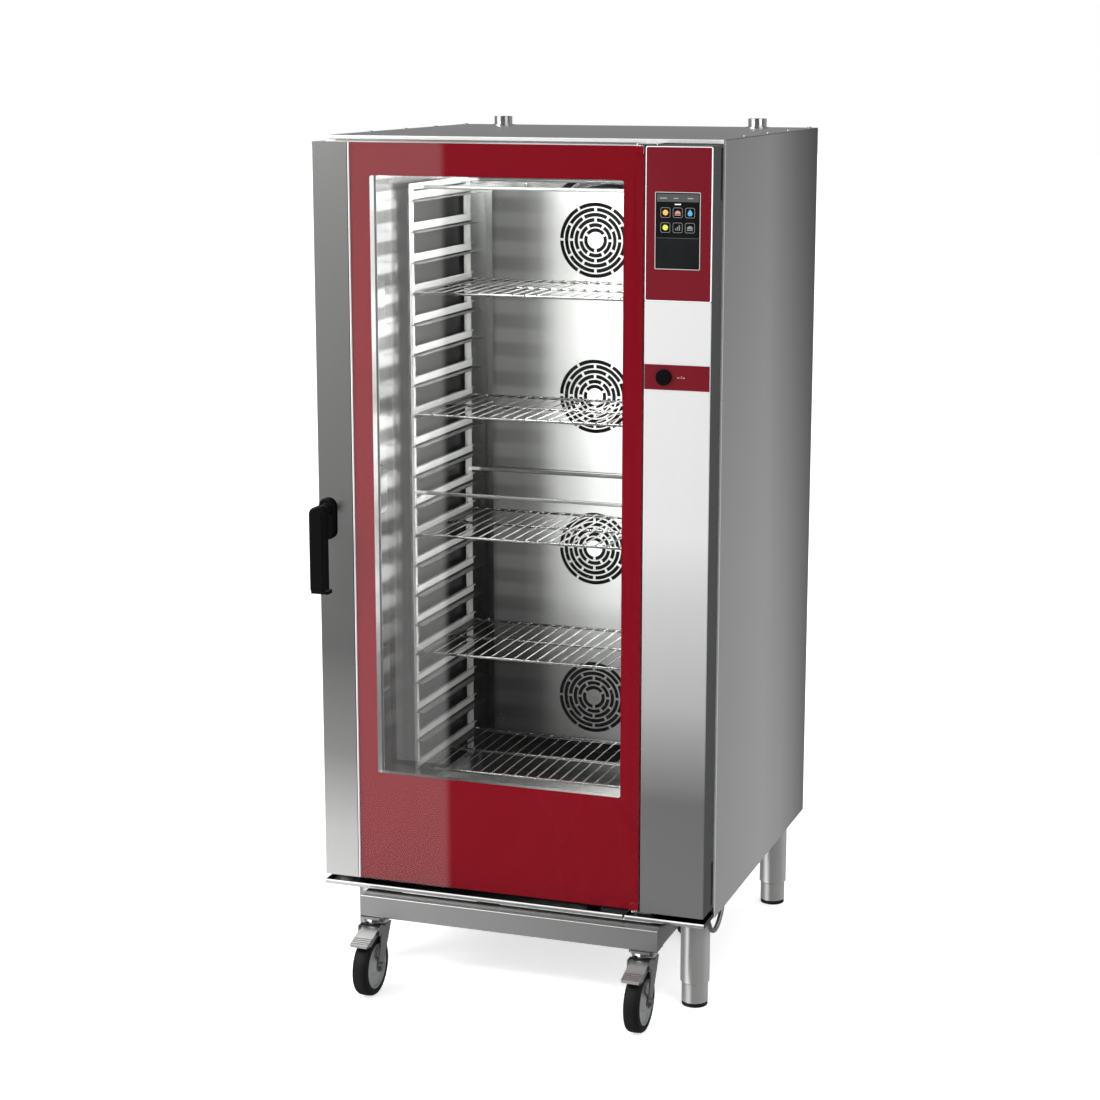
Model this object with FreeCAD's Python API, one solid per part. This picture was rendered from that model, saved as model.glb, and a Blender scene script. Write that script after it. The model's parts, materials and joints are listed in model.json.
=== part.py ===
"""Roll-in combi steamer oven with a shelf trolley, one STEP file per named piece.

Drawn with X to the right from the cabinet's left side, Y back from the cabinet's front
plane and Z up from the floor. save() moves every piece to the part's own origin, the
centre of its footprint on the floor.
"""
import FreeCAD
import Part
import math
import os

# Cabinet
WIDTH = 820.0
DEPTH = 757.0
BODY_BOTTOM = 208.0
BODY_TOP = 1752.0
SKIN = 1.5
FRONT_REACH = 183.5
REAR_REACH = 787.0
BASE_HEIGHT = 23.0
LIP_REACH = 8.0
LIP_HEIGHT = 7.0

# Door and its hinge
DOOR_FRONT = -73.0
DOOR_BACK = -13.2
DOOR_RIGHT = 682.5
DOOR_BOTTOM = 232.5
DOOR_TOP = 1741.5
HINGE_X = 675.5
HINGE_Y = -66.0
HINGE_PIN_R = 5.0
STRIP_RIGHT = 76.0
GLASS = 5.0
WINDOW = (119.7, 641.9, 462.5, 1677.5)
RUNNING_GAP = 0.05

# Control column
COLUMN_LEFT = 686.0
COLUMN_RIGHT = 817.0
COLUMN_BOTTOM = 231.0
COLUMN_TOP = 1743.0
CONTROL_GLASS_BOTTOM = 1453.0
FASCIA = (1284.0, 1332.0)
USB_X = 726.0
USB_Z = 1308.0
SCREEN = (706.0, 794.0, 1513.0, 1657.0)

# Handle
HANDLE_X = 23.0
HANDLE_Z = 1008.0
SPINDLE_R = 8.0

# Cavity
CAVITY_LEFT = 92.0
CAVITY_RIGHT = 684.0
CAVITY_MID = 388.0
CAVITY_BACK = 640.0
CAVITY_TOP = 1690.0
BAFFLE_Y = 520.0
FAN_X = 391.0
FAN_Z = (496.0, 836.0, 1175.5, 1515.0)
FAN_R = 115.0
SHAFT_R = 8.0

# Shelf rack and trolley
ROW_COUNT = 20
ROW_PITCH = 63.5
LOWEST_ROW = 409.0
GRID_ROWS = (0, 4, 8, 12, 16)
RACK_LEFT = 112.0
RACK_RIGHT = 664.0
RACK_FRONT = 149.0
RACK_BACK = 479.0
TROLLEY_LEFT = 94.0
TROLLEY_RIGHT = 734.0
BEAM_FRONT = -110.0
BEAM_DEPTH = 44.0
BEAM_BOTTOM = 163.5
BEAM_TOP = 208.5
DECK_Z = 236.0

# Castors: kingpin positions, trail and wheel
CASTORS = {
    "front_left": (119.0, -86.0),
    "front_right": (701.0, -86.0),
    "rear_left": (175.0, 468.0),
    "rear_right": (645.0, 468.0),
}
TRAIL = 35.0
WHEEL_R = 62.5
WHEEL_WIDTH = 32.0
AXLE_R = 6.0
PEDAL_Z = 140.0
PEDAL_SLOPE = 18.0
PEDAL_PIN_R = 3.0

# Legs
LEGS = {
    "front_left": (53.0, 52.0),
    "front_right": (767.0, 52.0),
    "rear_left": (53.0, 696.0),
    "rear_right": (767.0, 696.0),
}
LEG_R = 30.0
LEG_BOTTOM = 52.0
FOOT_R = 27.0
FOOT_SPINDLE_R = 12.0

# Top of the cabinet
VENTS = ((116.0, 692.0), (702.0, 690.0))
VENT_R = 20.0
VENT_TOP = 1772.0
COVER_SCREW_Y = (189.0, 372.0, 544.0, 727.0)
COVER_SCREW_INSET = 12.0
SCREW_R = 2.0

AXES = {
    "X": FreeCAD.Vector(1, 0, 0),
    "Y": FreeCAD.Vector(0, 1, 0),
    "Z": FreeCAD.Vector(0, 0, 1),
}


def block(x0, x1, y0, y1, z0, z1):
    """Box between two opposite corners."""
    return Part.makeBox(x1 - x0, y1 - y0, z1 - z0, FreeCAD.Vector(x0, y0, z0))


def rounded(x0, x1, y0, y1, z0, z1, radius, axis):
    """Box whose four edges along one axis are rounded."""
    solid = block(x0, x1, y0, y1, z0, z1)
    edges = [e for e in solid.Edges if abs(e.tangentAt(0).dot(AXES[axis])) > 0.99]
    return solid.makeFillet(radius, edges)


def soft_block(x0, x1, y0, y1, z0, z1, radius):
    """Box with every edge rounded."""
    solid = block(x0, x1, y0, y1, z0, z1)
    return solid.makeFillet(radius, solid.Edges)


def rod(x, y, z, radius, length, axis):
    """Cylinder that starts at a point and runs along an axis."""
    return Part.makeCylinder(radius, length, FreeCAD.Vector(x, y, z), AXES[axis])


def tube(x, y, z, radius, inner, length, axis):
    """Cylinder with a through bore."""
    return rod(x, y, z, radius, length, axis).cut(rod(x, y, z, inner, length, axis))


def box_tube(x0, x1, y0, y1, z0, z1, wall, axis):
    """Rectangular tube that is open at both ends along an axis."""
    inner = {
        "X": (x0, x1, y0 + wall, y1 - wall, z0 + wall, z1 - wall),
        "Y": (x0 + wall, x1 - wall, y0, y1, z0 + wall, z1 - wall),
        "Z": (x0 + wall, x1 - wall, y0 + wall, y1 - wall, z0, z1),
    }[axis]
    return block(x0, x1, y0, y1, z0, z1).cut(block(*inner))


def round_rims(solid, radius, axis, levels):
    """Round the circular rims that lie on the given levels of an axis."""
    low, high = {"X": ("XMin", "XMax"), "Y": ("YMin", "YMax"), "Z": ("ZMin", "ZMax")}[axis]
    rims = []
    for edge in solid.Edges:
        box = edge.BoundBox
        for level in levels:
            if abs(getattr(box, low) - level) < 0.01 and abs(getattr(box, high) - level) < 0.01:
                rims.append(edge)
    return solid.makeFillet(radius, rims)


def plate_yz(points, x0, x1):
    """Flat plate cut to a polygon of (y, z) points, between two X planes."""
    corners = [FreeCAD.Vector(x0, y, z) for y, z in points]
    outline = Part.makePolygon(corners + [corners[0]])
    return Part.Face(outline).extrude(FreeCAD.Vector(x1 - x0, 0, 0))


def join(solids):
    """One solid from several that touch or overlap."""
    return solids[0].multiFuse(solids[1:]).removeSplitter()


def save(node, solids):
    """Write one piece, moved to the part's origin."""
    shape = Part.makeCompound(solids) if len(solids) > 1 else solids[0]
    shape = shape.copy()
    middle = (REAR_REACH - FRONT_REACH) / 2
    shape.translate(FreeCAD.Vector(-WIDTH / 2, -middle, 0))
    if not shape.isValid():
        print("not valid:", node)
    print(node, len(shape.Solids), "solids, volume", round(shape.Volume / 1000), "cm3")
    shape.exportStep("parts/" + node + ".step")


def cover_screw_points():
    """Positions of the screws along both edges of the top cover."""
    columns = (COVER_SCREW_INSET, WIDTH - COVER_SCREW_INSET)
    return [(x, y) for x in columns for y in COVER_SCREW_Y]


def top_cover():
    """Flat lid with a rounded rain lip along its front edge."""
    bottom = BODY_TOP - SKIN
    lid = block(0, WIDTH, -LIP_REACH + 1, DEPTH, bottom, BODY_TOP)
    lip = block(0, WIDTH, -LIP_REACH, 0, BODY_TOP - LIP_HEIGHT, BODY_TOP)
    front_edges = [e for e in lip.Edges
                   if e.BoundBox.YMax < -LIP_REACH + 0.1 and e.BoundBox.XLength > WIDTH / 2]
    lip = lip.makeFillet(2.5, front_edges)
    shape = join([lid, lip])
    for x, y in VENTS:
        shape = shape.cut(rod(x, y, bottom - 1, VENT_R + 0.2, 4, "Z"))
    for x, y in cover_screw_points():
        shape = shape.cut(rod(x, y, bottom - 1, SCREW_R + 0.1, 4, "Z"))
    return [shape]


def cover_screws():
    """Pan-head screws that hold the top cover to the side panels."""
    screws = []
    for x, y in cover_screw_points():
        head = rod(x, y, BODY_TOP, 5.0, 2.4, "Z")
        head = round_rims(head, 1.0, "Z", [BODY_TOP + 2.4])
        slot = block(x - 4, x + 4, y - 0.5, y + 0.5, BODY_TOP + 1.4, BODY_TOP + 3)
        shank = rod(x, y, BODY_TOP - 12, SCREW_R, 12.5, "Z")
        screws.append(join([head, shank]).cut(slot))
    return screws


def side_panels():
    """Two folded side sheets with front and top flanges."""
    top = BODY_TOP - SKIN
    panels = []
    for side in (0, 1):
        wall_x = (0, SKIN) if side == 0 else (WIDTH - SKIN, WIDTH)
        flange_x = (0, 18.0) if side == 0 else (WIDTH - 18.0, WIDTH)
        shelf_x = (0, 24.0) if side == 0 else (WIDTH - 24.0, WIDTH)
        wall = block(*wall_x, 0, DEPTH - SKIN, BODY_BOTTOM, top)
        front = block(*flange_x, 0, SKIN, BODY_BOTTOM + BASE_HEIGHT, top)
        shelf = block(*shelf_x, 0, DEPTH - SKIN, top - SKIN, top)
        panel = join([wall, front, shelf])
        for x, y in cover_screw_points():
            panel = panel.cut(rod(x, y, top - 5, SCREW_R + 0.1, 10, "Z"))
        panels.append(panel)
    return panels


def back_panel():
    """Rear sheet with cooling slots and clearance holes for the fittings."""
    sheet = block(0, WIDTH, DEPTH - SKIN, DEPTH, BODY_BOTTOM, BODY_TOP - SKIN)
    for row in range(8):
        z = 1240 + row * 30
        for x in (560, 660):
            sheet = sheet.cut(block(x, x + 80, DEPTH - 5, DEPTH + 5, z, z + 8))
    for x, z, radius, _ in REAR_FITTINGS.values():
        sheet = sheet.cut(rod(x, DEPTH - 5, z, radius + 0.3, 10, "Y"))
    return [sheet]


# Rear fittings: x, z, outer radius, bore radius
REAR_FITTINGS = {
    "drain": (388.0, 290.0, 25.0, 22.0),
    "water_inlet_cold": (130.0, 262.0, 13.0, 9.0),
    "water_inlet_soft": (190.0, 262.0, 13.0, 9.0),
    "cable_gland": (745.0, 290.0, 14.0, 9.0),
}


def rear_connections():
    """Drain pipe, two threaded water inlets and the cable gland."""
    starts = {"drain": 690.0, "cable_gland": 735.0}
    ends = {"drain": REAR_REACH, "cable_gland": DEPTH + 22}
    parts = []
    for name, (x, z, radius, inner) in REAR_FITTINGS.items():
        start = starts.get(name, 725.0)
        end = ends.get(name, DEPTH + 20)
        body = rod(x, start, z, radius, end - start, "Y")
        body = join([body, rod(x, DEPTH + 0.5, z, radius + 6, 5, "Y")])
        parts.append(body.cut(rod(x, start, z, inner, end - start, "Y")))
    return parts


def base_frame():
    """U of closed steel tubes under the cabinet, open at the front for the trolley."""
    top = BODY_BOTTOM + BASE_HEIGHT
    wall = 2.0
    outer = [
        block(SKIN, 88, 2, DEPTH - SKIN, BODY_BOTTOM, top),
        block(690, WIDTH - SKIN, 2, DEPTH - SKIN, BODY_BOTTOM, top),
        block(88, 690, 650, DEPTH - SKIN, BODY_BOTTOM, top),
    ]
    hollow = [
        block(SKIN + wall, 88 - wall, 2 + wall, DEPTH - SKIN - wall,
              BODY_BOTTOM + wall, top - wall),
        block(690 + wall, WIDTH - SKIN - wall, 2 + wall, DEPTH - SKIN - wall,
              BODY_BOTTOM + wall, top - wall),
        block(88, 690, 650 + wall, DEPTH - SKIN - wall, BODY_BOTTOM + wall, top - wall),
    ]
    return [join(outer).cut(join(hollow))]


def leg_tubes():
    """Four capped leg tubes, each with a bush for its levelling foot."""
    legs = []
    height = BODY_BOTTOM - LEG_BOTTOM
    for x, y in LEGS.values():
        leg = tube(x, y, LEG_BOTTOM, LEG_R, LEG_R - 2.5, height, "Z")
        cap = rod(x, y, BODY_BOTTOM - 4, LEG_R, 4, "Z")
        bush = rod(x, y, LEG_BOTTOM, LEG_R - 2, 30, "Z")
        bush = bush.cut(rod(x, y, LEG_BOTTOM, FOOT_SPINDLE_R + RUNNING_GAP, 30, "Z"))
        legs.append(join([leg, cap, bush]))
    return legs


def levelling_foot(x, y):
    """Foot with a dark pad, and the spindle that screws into the leg."""
    pad = rod(x, y, 0, FOOT_R - 1, 9, "Z")
    body = rod(x, y, 9, FOOT_R, LEG_BOTTOM - 10, "Z")
    body = round_rims(body, 2.0, "Z", [LEG_BOTTOM - 1])
    spindle = rod(x, y, 30, FOOT_SPINDLE_R, 95, "Z")
    return [join([pad, body, spindle])]


def front_frame():
    """Front sheet of the cabinet around the cavity opening."""
    sheet = block(18, WIDTH - 18, 0, 2, BODY_BOTTOM + BASE_HEIGHT, BODY_TOP - SKIN)
    opening = block(104, 672, -1, 3, BODY_BOTTOM + BASE_HEIGHT - 1, CAVITY_TOP - 12)
    edge = [block(SKIN, 18, 1.5, 2, BODY_BOTTOM + BASE_HEIGHT, BODY_TOP - 3.2)]
    edge.append(block(WIDTH - 18, WIDTH - SKIN, 1.5, 2,
                      BODY_BOTTOM + BASE_HEIGHT, BODY_TOP - 3.2))
    sheet = join([sheet] + edge)
    sheet = sheet.cut(block(0, 24, -1, 3, BODY_TOP - 3.2, BODY_TOP))
    sheet = sheet.cut(block(WIDTH - 24, WIDTH, -1, 3, BODY_TOP - 3.2, BODY_TOP))
    return [sheet.cut(opening)]


def cavity_liner():
    """Steel walls, ceiling and back of the steam cavity, open below and in front."""
    bottom = BODY_BOTTOM + BASE_HEIGHT
    outer = block(CAVITY_LEFT - SKIN, CAVITY_RIGHT + SKIN, 2, CAVITY_BACK + SKIN,
                  bottom, CAVITY_TOP + SKIN)
    inner = block(CAVITY_LEFT, CAVITY_RIGHT, 1, CAVITY_BACK, bottom - 1, CAVITY_TOP)
    liner = outer.cut(inner)
    for z in FAN_Z:
        liner = liner.cut(rod(FAN_X, CAVITY_BACK - 2, z, SHAFT_R + 2, 6, "Y"))
    return [liner]


def cavity_insulation():
    """Mineral wool slabs round the cavity."""
    bottom = BODY_BOTTOM + BASE_HEIGHT + 2
    side_top = CAVITY_TOP + SKIN
    back = block(CAVITY_LEFT, CAVITY_RIGHT, CAVITY_BACK + SKIN + 0.5, 668, 330, side_top)
    for z in FAN_Z:
        back = back.cut(rod(FAN_X, CAVITY_BACK, z, 24, 50, "Y"))
    return [
        block(50, CAVITY_LEFT - SKIN - 0.5, 6, 638, bottom, side_top),
        block(CAVITY_RIGHT + SKIN + 0.5, 722, 6, 638, bottom, side_top),
        block(50, 722, 6, 638, side_top + 0.5, 1728),
        back,
    ]


def side_air_panels():
    """Guide sheets on both cavity walls with a folded front edge."""
    panels = []
    for mirror in (False, True):
        sheet = block(104, 105.2, 155, 500, 420, 1640)
        front = block(CAVITY_LEFT, 105.2, 155, 156.2, 420, 1640)
        back = block(CAVITY_LEFT, 105.2, 498.8, 500, 420, 1640)
        panel = join([sheet, front, back])
        if mirror:
            panel = panel.mirror(FreeCAD.Vector(CAVITY_MID, 0, 0), AXES["X"])
        panels.append(panel)
    return panels


def ring_slot(x, z, radius, start, end, width, depth):
    """Curved slot with round ends, cut through a plate that faces the door."""
    steps = (start, (start + end) / 2, end)

    def point(angle, r):
        turn = math.radians(angle)
        return FreeCAD.Vector(x + r * math.cos(turn), BAFFLE_Y - 5, z + r * math.sin(turn))

    outer = Part.Arc(*[point(a, radius + width / 2) for a in steps]).toShape()
    inner = Part.Arc(*[point(a, radius - width / 2) for a in reversed(steps)]).toShape()
    close_far = Part.LineSegment(point(end, radius + width / 2),
                                 point(end, radius - width / 2)).toShape()
    close_near = Part.LineSegment(point(start, radius - width / 2),
                                  point(start, radius + width / 2)).toShape()
    face = Part.Face(Part.Wire([outer, close_far, inner, close_near]))
    return face.extrude(FreeCAD.Vector(0, depth, 0))


def grille_slots(x, z):
    """Six rings of curved slots in front of one fan, the bridges staggered."""
    slots = []
    width = 8.2
    land = 5.0
    outer_radius = 77.0
    ring_pitch = 11.0
    rings = 6
    for ring in range(rings):
        radius = outer_radius - ring * ring_pitch
        pieces = 3 if ring == rings - 1 else 6
        first = 30.0 if ring % 2 else 0.0
        margin = math.degrees((land / 2) / radius)
        for k in range(pieces):
            start = first + k * 360 / pieces + margin
            end = first + (k + 1) * 360 / pieces - margin
            slots.append(ring_slot(x, z, radius, start, end, width, 20))
    return slots


def fan_baffles():
    """Two removable sheets in front of the fans, each on four studs."""
    baffles = []
    depth = CAVITY_BACK - BAFFLE_Y + 3
    for low, high, fans in ((390.0, 1006.0, FAN_Z[:2]), (1008.0, 1622.0, FAN_Z[2:])):
        sheet = block(153, 623, BAFFLE_Y, BAFFLE_Y + 1.5, low, high)
        folds = [
            block(153, 623, BAFFLE_Y, BAFFLE_Y + 16, low, low + 1.5),
            block(153, 623, BAFFLE_Y, BAFFLE_Y + 16, high - 1.5, high),
            block(153, 154.5, BAFFLE_Y, BAFFLE_Y + 30, low, high),
            block(621.5, 623, BAFFLE_Y, BAFFLE_Y + 30, low, high),
        ]
        cutters = []
        for x in (170, 606):
            for z in (low + 40, high - 40):
                head = rod(x, BAFFLE_Y - 3, z, 7, 3, "Y")
                baffles.append(join([head, rod(x, BAFFLE_Y - 3, z, 4, depth, "Y")]))
                cutters.append(rod(x, BAFFLE_Y - 1, z, 4.2, 4, "Y"))
        for z in fans:
            cutters += grille_slots(FAN_X, z)
        baffles.append(join([sheet] + folds).cut(Part.makeCompound(cutters)))
    return baffles


def fan_motors():
    """Motors behind the cavity, each with a bushed bore for its fan shaft."""
    motors = []
    for z in FAN_Z:
        can = rod(FAN_X, 690, z, 58, 58, "Y")
        can = round_rims(can, 4.0, "Y", [748.0])
        flange = block(FAN_X - 66, FAN_X + 66, 685, 690, z - 66, z + 66)
        nose = rod(FAN_X, 650, z, 18, 36, "Y")
        motor = join([can, flange, nose])
        bore = rod(FAN_X, 649, z, SHAFT_R + RUNNING_GAP, 60, "Y")
        motors.append(motor.cut(bore))
    return motors


def fan_wheel(z):
    """Radial wheel: back disc, curved blades, front ring and shaft."""
    back = rod(FAN_X, 616, z, FAN_R, 2, "Y")
    front = tube(FAN_X, 566, z, FAN_R, FAN_R - 25, 2, "Y")
    hub = rod(FAN_X, 600, z, 20, 18, "Y")
    shaft = rod(FAN_X, 596, z, SHAFT_R, 108, "Y")
    blades = []
    for k in range(24):
        blade = block(FAN_X + FAN_R - 26, FAN_X + FAN_R - 2, 567, 617, z - 0.8, z + 0.8)
        blade.rotate(FreeCAD.Vector(FAN_X + FAN_R - 12, 0, z), AXES["Y"], 35)
        blade.rotate(FreeCAD.Vector(FAN_X, 0, z), AXES["Y"], k * 15)
        blades.append(blade)
    return [join([back, front, hub, shaft] + blades)]


def heating_elements():
    """Two joined tubular rings round each fan wheel, held by the cavity's back wall."""
    front, back, radius, thick = 572.0, 600.0, 140.0, 4.0
    elements = []
    for z in FAN_Z:
        rings = [Part.makeTorus(radius, thick, FreeCAD.Vector(FAN_X, y, z), AXES["Y"])
                 for y in (front, back)]
        link = rod(FAN_X + radius, front, z, thick - 1, back - front, "Y")
        leg = rod(FAN_X - radius, front, z, thick - 1, CAVITY_BACK - front, "Y")
        elements.append(rings[0].multiFuse([rings[1], link, leg]))
    return [element.Solids[0] for element in elements]


def steam_pipe():
    """Riser with one outlet beside each fan."""
    riser = rod(200, 605, 400, 8, 1230, "Z")
    outlets = [rod(200, 605, z + 60, 5, 30, "X") for z in FAN_Z]
    return [join([riser] + outlets)]


def lamp_covers():
    """Three lamp windows on the left cavity wall, near the door."""
    lamps = []
    for z in (1412.0, 1036.0, 658.0):
        frame = rounded(CAVITY_LEFT, CAVITY_LEFT + 5, 8, 50, z - 48, z + 48, 6, "X")
        lens = rounded(CAVITY_LEFT + 4, CAVITY_LEFT + 8, 13, 45, z - 43, z + 43, 5, "X")
        lamps.append(join([frame, lens]))
    return lamps


def door_gasket():
    """Rubber seal on the front sheet, round three sides of the opening."""
    front = DOOR_BACK + 0.4
    bottom = BODY_BOTTOM + BASE_HEIGHT
    outer = block(92, 684, front, 0, bottom, CAVITY_TOP)
    inner = block(104, 672, front - 1, 1, bottom - 1, CAVITY_TOP - 12)
    return [outer.cut(inner)]


def column_housing():
    """Dark side walls, top and bottom of the control column."""
    left = block(COLUMN_LEFT, COLUMN_LEFT + SKIN, -69, 0, COLUMN_BOTTOM, COLUMN_TOP)
    right = block(COLUMN_RIGHT - SKIN, COLUMN_RIGHT, -69, 0, COLUMN_BOTTOM, COLUMN_TOP)
    bottom = block(COLUMN_LEFT, COLUMN_RIGHT, -69, 0, COLUMN_BOTTOM, COLUMN_BOTTOM + 2)
    top = block(COLUMN_LEFT, COLUMN_RIGHT, -69, 0, COLUMN_TOP - 2, COLUMN_TOP)
    return [join([left, right, bottom, top])]


def column_cover():
    """Steel front cover below the control glass, with the USB opening."""
    top = CONTROL_GLASS_BOTTOM - 1
    sheet = rounded(COLUMN_LEFT, COLUMN_RIGHT, DOOR_FRONT, DOOR_FRONT + 4,
                    COLUMN_BOTTOM, top, 1.2, "Z")
    pocket = block(COLUMN_LEFT + 3, COLUMN_RIGHT - 3, DOOR_FRONT + 1.5, DOOR_FRONT + 5,
                   COLUMN_BOTTOM + 3, top - 3)
    opening = rod(USB_X, DOOR_FRONT - 1, USB_Z, 11.8, 8, "Y")
    return [sheet.cut(pocket).cut(opening)]


def control_glass():
    """Coloured control glass, and the narrow fascia band round the USB port."""
    glass = rounded(COLUMN_LEFT + 1, COLUMN_RIGHT - 1, DOOR_FRONT, DOOR_FRONT + 4,
                    CONTROL_GLASS_BOTTOM, COLUMN_TOP - 2, 3, "Y")
    band = block(COLUMN_LEFT + 1, COLUMN_RIGHT - 1, DOOR_FRONT - 0.8, DOOR_FRONT, *FASCIA)
    band = band.cut(rod(USB_X, DOOR_FRONT - 2, USB_Z, 11.5, 4, "Y"))
    socket = block(USB_X - 14, USB_X + 14, DOOR_FRONT + 6, -40, USB_Z - 14, USB_Z + 14)
    socket = socket.cut(rod(USB_X, DOOR_FRONT, USB_Z, 10.05, 22, "Y"))
    neck = tube(USB_X, DOOR_FRONT - 0.8, USB_Z, 11.5, 10.05, 7, "Y")
    return [glass, join([band, socket, neck])]


def touch_screen():
    """Portrait touch panel with a thin frame, flush-mounted on the glass."""
    x0, x1, z0, z1 = SCREEN
    frame = rounded(x0, x1, DOOR_FRONT - 1, DOOR_FRONT, z0, z1, 2, "Y")
    recess = block(x0 + 2, x1 - 2, DOOR_FRONT - 2, DOOR_FRONT - 0.7, z0 + 2, z1 - 2)
    return [frame.cut(recess)]


def control_board():
    """Circuit board and its heat sink inside the column."""
    board = block(700, 803, -44, -42.4, 1345, 1700)
    parts = [board]
    for k in range(6):
        parts.append(block(715 + k * 12, 722 + k * 12, -42.4, -20, 1360, 1440))
    parts.append(block(712, 790, -42.4, -34, 1540, 1640))
    return [join(parts)]


def usb_cap():
    """Round plug that pulls out of the USB port."""
    cap = rod(USB_X, DOOR_FRONT - 6.8, USB_Z, 15.5, 5.7, "Y")
    cap = round_rims(cap, 1.5, "Y", [DOOR_FRONT - 6.8])
    stem = rod(USB_X, DOOR_FRONT - 2, USB_Z, 10.0, 14, "Y")
    return [join([cap, stem])]


def vent_stubs():
    """Two steel outlets that stand out of the top cover."""
    stubs = []
    for x, y in VENTS:
        pipe = rod(x, y, 1640, VENT_R, VENT_TOP - 1640, "Z")
        collar = rod(x, y, BODY_TOP, VENT_R + 5, 2.5, "Z")
        stub = join([pipe, collar]).cut(rod(x, y, 1640, VENT_R - 1.5, 200, "Z"))
        stubs.append(stub)
    return stubs


def hinge_brackets():
    """Hinge plates above and below the door with their pins, and the latch keeper."""
    parts = []
    for plate_z, pin_z in ((COLUMN_TOP, DOOR_TOP - 12), (COLUMN_BOTTOM - 3, COLUMN_BOTTOM - 2)):
        plate = rounded(HINGE_X - 9, HINGE_X + 34, HINGE_Y - 6.5, -8.5,
                        plate_z, plate_z + 3, 4, "Z")
        pin = rod(HINGE_X, HINGE_Y, pin_z, HINGE_PIN_R, 14.5, "Z")
        parts.append(join([plate, pin]))
    keeper = block(46, 58, -11, 0, HANDLE_Z - 25, HANDLE_Z + 25)
    ramp = block(44, 47, -11, -4, HANDLE_Z - 25, HANDLE_Z + 25)
    foot = block(44, 80, -2, 0, HANDLE_Z - 35, HANDLE_Z + 35)
    parts.append(join([keeper, ramp, foot]))
    return parts


def drip_channel(x0, x1, back):
    """Shallow trough with a turned-up front lip."""
    low = 212.0
    high = 221.0
    front = -77.0
    outer = rounded(x0, x1, front, back, low, high, 2.5, "X")
    inner = block(x0 + 1.5, x1 - 1.5, front + 1.8, back - 1.5, low + 1.5, high + 1)
    return outer.cut(inner)


def column_drip_channel():
    """The fixed part of the drip channel, under the control column."""
    channel = drip_channel(655, WIDTH, -0.5)
    bracket = block(700, 800, -3, -0.5, 219, COLUMN_BOTTOM)
    return [join([channel, bracket])]


def door_drip_channel():
    """The drip channel below the door, hung from it on two straps."""
    channel = drip_channel(0, 651, DOOR_BACK - 1)
    straps = [block(x, x + 30, -26, -24, 213, DOOR_BOTTOM) for x in (60, 560)]
    return [join([channel] + straps)]


def door_glass():
    """Full-height outer glass, notched at the hinge corners."""
    pane = block(STRIP_RIGHT, DOOR_RIGHT, DOOR_FRONT, DOOR_FRONT + GLASS,
                 DOOR_BOTTOM, DOOR_TOP)
    for z0, z1 in ((DOOR_BOTTOM - 1, DOOR_BOTTOM + 14), (DOOR_TOP - 14, DOOR_TOP + 1)):
        pane = pane.cut(block(DOOR_RIGHT - 18, DOOR_RIGHT + 1, DOOR_FRONT - 1, -60, z0, z1))
    return [pane]


def door_print():
    """Opaque coloured border on the back of the outer glass."""
    x0, x1, z0, z1 = WINDOW
    back = DOOR_FRONT + GLASS
    border = block(STRIP_RIGHT, DOOR_RIGHT - 0.5, back, back + 0.8, DOOR_BOTTOM, DOOR_TOP)
    window = rounded(x0, x1, back - 1, back + 2, z0, z1, 5, "Y")
    border = border.cut(window)
    for low, high in ((DOOR_BOTTOM - 1, DOOR_BOTTOM + 14), (DOOR_TOP - 14, DOOR_TOP + 1)):
        border = border.cut(block(DOOR_RIGHT - 18, DOOR_RIGHT + 1, back - 1, -60, low, high))
    return [border]


def door_frame():
    """Deep steel tray of the door, open to the glass, with its hinge and latch blocks."""
    front = DOOR_FRONT + GLASS + 1
    back = -20.0
    outer = block(2, DOOR_RIGHT, front, back, DOOR_BOTTOM, DOOR_TOP)
    window = block(108, 655, front - 1, 0, 452, 1688)
    ring = outer.cut(block(4, DOOR_RIGHT - 2, front - 1, back - 2, DOOR_BOTTOM + 2,
                           DOOR_TOP - 2))
    reveal = block(106, 657, front, back, 450, 1690)
    blocks = [ring, reveal]
    for z0, z1 in ((DOOR_BOTTOM, DOOR_BOTTOM + 14), (DOOR_TOP - 14, DOOR_TOP)):
        blocks.append(rounded(DOOR_RIGHT - 18, DOOR_RIGHT, DOOR_FRONT, back, z0, z1, 4, "Z"))
    blocks.append(block(8, 38, front, back, HANDLE_Z - 15, HANDLE_Z + 15))
    frame = join(blocks).cut(window)
    for z in (DOOR_BOTTOM, DOOR_TOP - 13):
        frame = frame.cut(rod(HINGE_X, HINGE_Y, z - 0.5, HINGE_PIN_R + RUNNING_GAP, 14, "Z"))
    return [frame.cut(spindle_bore())]


def spindle_bore():
    """Running bore for the latch spindle."""
    return rod(HANDLE_X, DOOR_FRONT - 40, HANDLE_Z, SPINDLE_R + RUNNING_GAP, 130, "Y")


def door_side_strip():
    """Folded steel strip that carries the handle."""
    sheet = rounded(0, STRIP_RIGHT, DOOR_FRONT, DOOR_FRONT + 5, DOOR_BOTTOM, DOOR_TOP,
                    2.0, "Z")
    side = block(0, 1.8, DOOR_FRONT + 3, -20, DOOR_BOTTOM, DOOR_TOP)
    strip = join([sheet, side])
    return [strip.cut(rod(HANDLE_X, DOOR_FRONT - 1, HANDLE_Z, SPINDLE_R + 2, 8, "Y"))]


def door_inner_glass():
    """Inner pane and its two spacer bars, closing against the seal."""
    pane = rounded(84, 681, -19, DOOR_BACK, DOOR_BOTTOM + 2, 1712, 4, "Y")
    spacers = [block(x, x + 6, -20, -19, 300, 1700) for x in (96, 668)]
    return [join([pane] + spacers)]


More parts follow.
